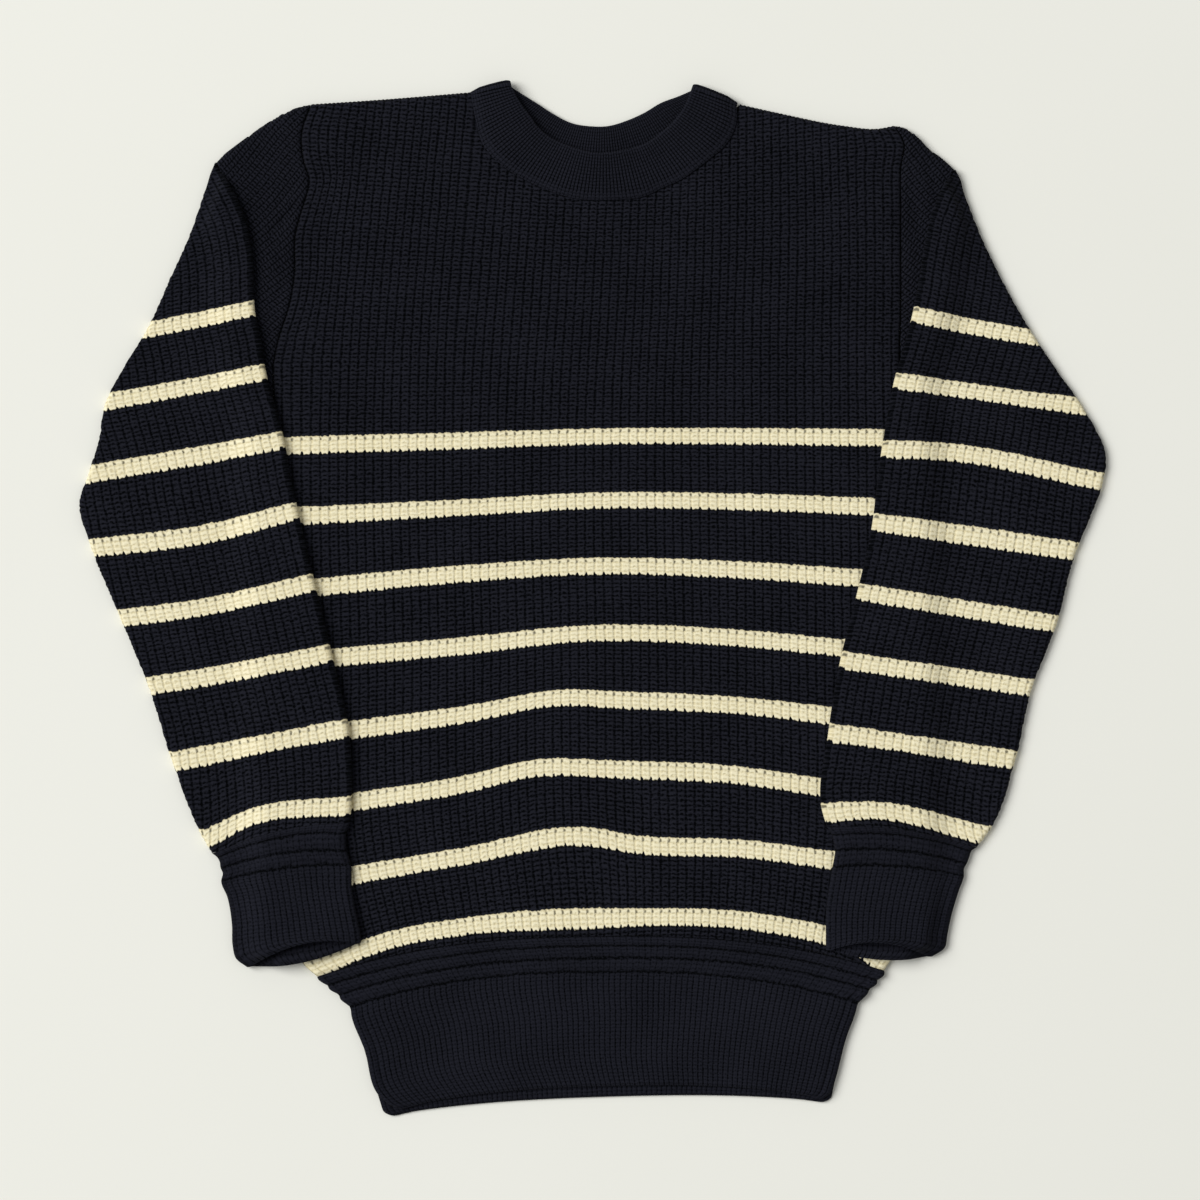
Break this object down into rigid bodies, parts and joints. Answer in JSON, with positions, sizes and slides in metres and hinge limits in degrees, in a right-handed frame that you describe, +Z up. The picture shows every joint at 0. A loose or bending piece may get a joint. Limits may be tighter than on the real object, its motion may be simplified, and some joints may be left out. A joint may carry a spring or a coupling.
{
  "type": "crewneck sweater",
  "caption": "Striped crewneck sweater in heavy ribbed wool, laid flat face up with both sleeves folded down over the front of the body.",
  "frame": {"origin": "On the surface that the sweater lies on, under the middle of its outline", "axes": "+X to the viewer's right across the body, +Y from the hem to the neck, +Z up out of the surface that the back lies on"},
  "size_m": [0.676, 0.6791, 0.014],
  "materials": {
    "striped_rib_knit": "heavy half-cardigan wool knit, near-black navy with narrow cream stripes",
    "navy_band_knit": "close ribbed wool knit, near-black navy"
  },
  "bodies": {
    "root": {"front": "striped_rib_knit", "back": "striped_rib_knit", "sleeve_left": "striped_rib_knit", "sleeve_right": "striped_rib_knit", "hem_rib_front": "navy_band_knit", "hem_rib_back": "navy_band_knit", "cuff_left": "navy_band_knit", "cuff_right": "navy_band_knit", "collar": "navy_band_knit"}
  },
  "joints": []
}
